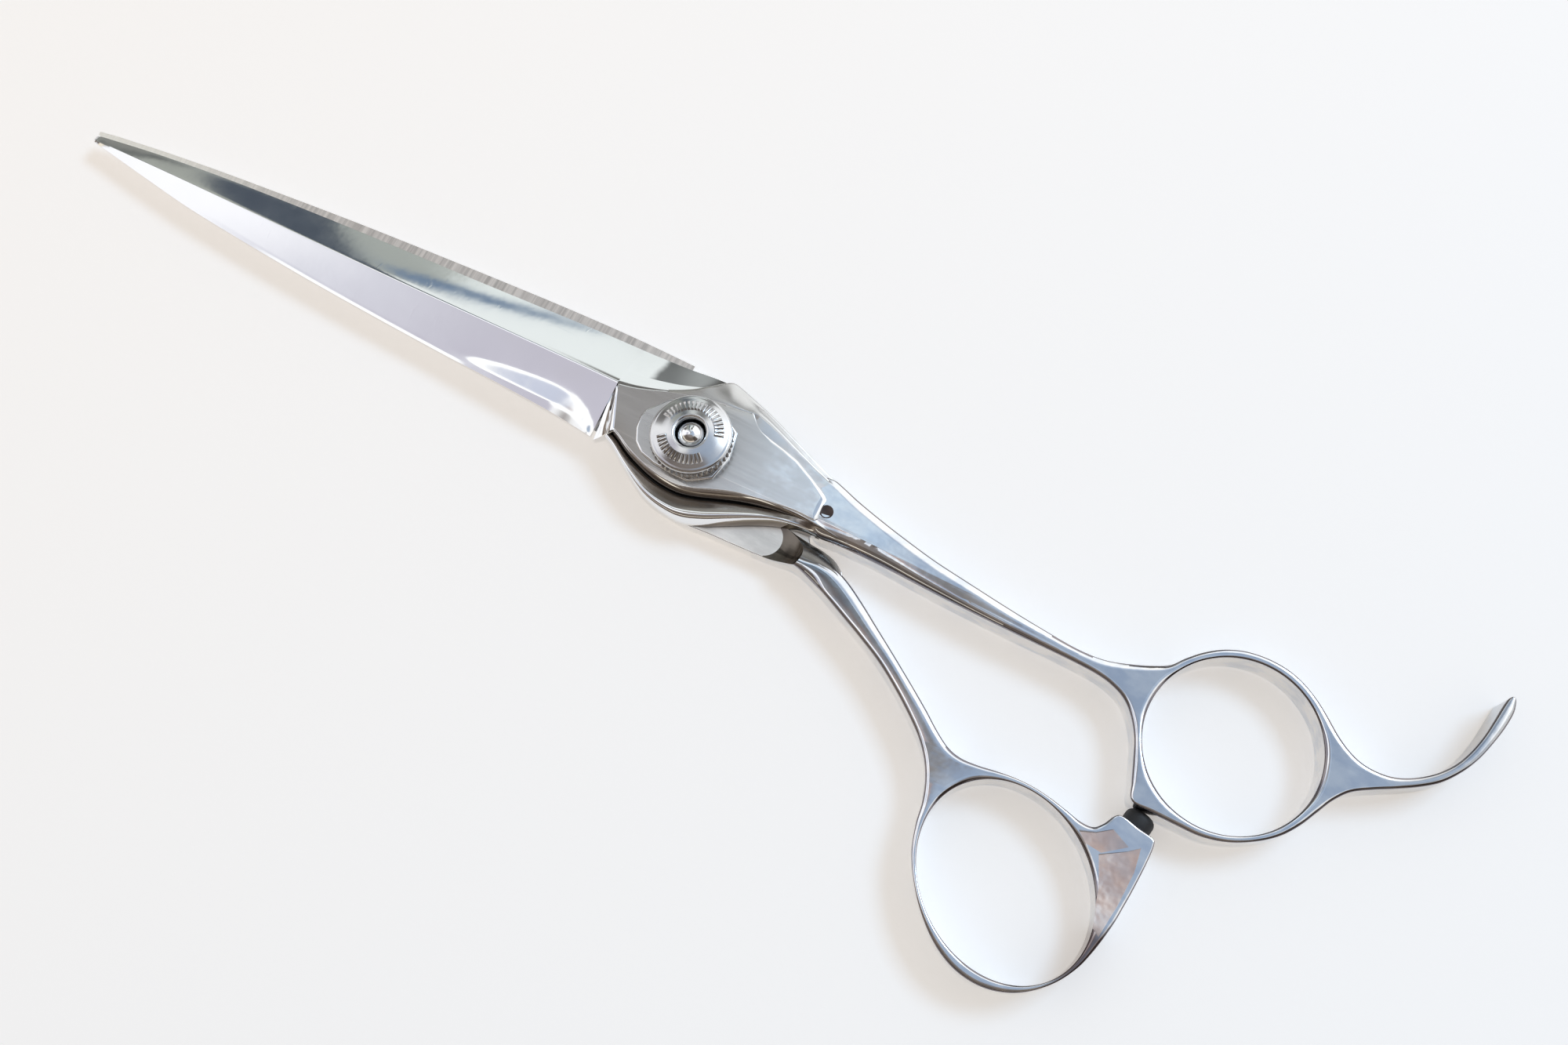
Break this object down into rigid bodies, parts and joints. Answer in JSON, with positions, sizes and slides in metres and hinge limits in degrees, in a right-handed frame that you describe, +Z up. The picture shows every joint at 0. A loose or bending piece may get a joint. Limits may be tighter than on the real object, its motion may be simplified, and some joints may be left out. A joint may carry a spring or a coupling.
{
  "type": "hair cutting shears",
  "caption": "Hair cutting shears with two hollow-ground blades, an adjustable pivot dial, offset ring handles, a fixed finger rest and a rubber bumper.",
  "frame": {"origin": "on the pivot axis, at the underside of the bolt head, which is on the plane the closed shears rest on", "axes": "+X along the shears from the pivot to the finger rings, -X to the tips, +Z up out of the dial side, +Y to the side of the upper cutting edge and the finger rest"},
  "size_m": [0.1936, 0.0573, 0.0085],
  "materials": {
    "blade_steel": "mirror polished stainless steel",
    "handle_steel": "mirror polished stainless steel",
    "bolt_steel": "polished stainless steel",
    "dial_steel": "satin bright steel",
    "spring_steel": "bright spring steel",
    "bronze": "turned bronze",
    "washer_plastic": "white low-friction plastic",
    "black_rubber": "black rubber"
  },
  "bodies": {
    "finger_half": {"finger_blade": "blade_steel", "finger_handle": "handle_steel", "pivot_bolt": "bolt_steel", "slip_washer": "washer_plastic", "click_plate": "spring_steel"},
    "thumb_half": {"thumb_blade": "blade_steel", "thumb_handle": "handle_steel", "pivot_bush": "bronze", "bumper": "black_rubber"},
    "dial": {"tension_dial": "dial_steel"}
  },
  "joints": [
    {"name": "shear_pivot", "type": "hinge", "parent": "finger_half", "child": "thumb_half", "pos_m": [0, 0, 0.002], "axis": [0, 0, -1], "range_deg": [0, 100]},
    {"name": "dial_turn", "type": "hinge", "parent": "finger_half", "child": "dial", "pos_m": [0, 0, 0.0066], "axis": [0, 0, 1], "range_deg": [-180, 180]}
  ]
}
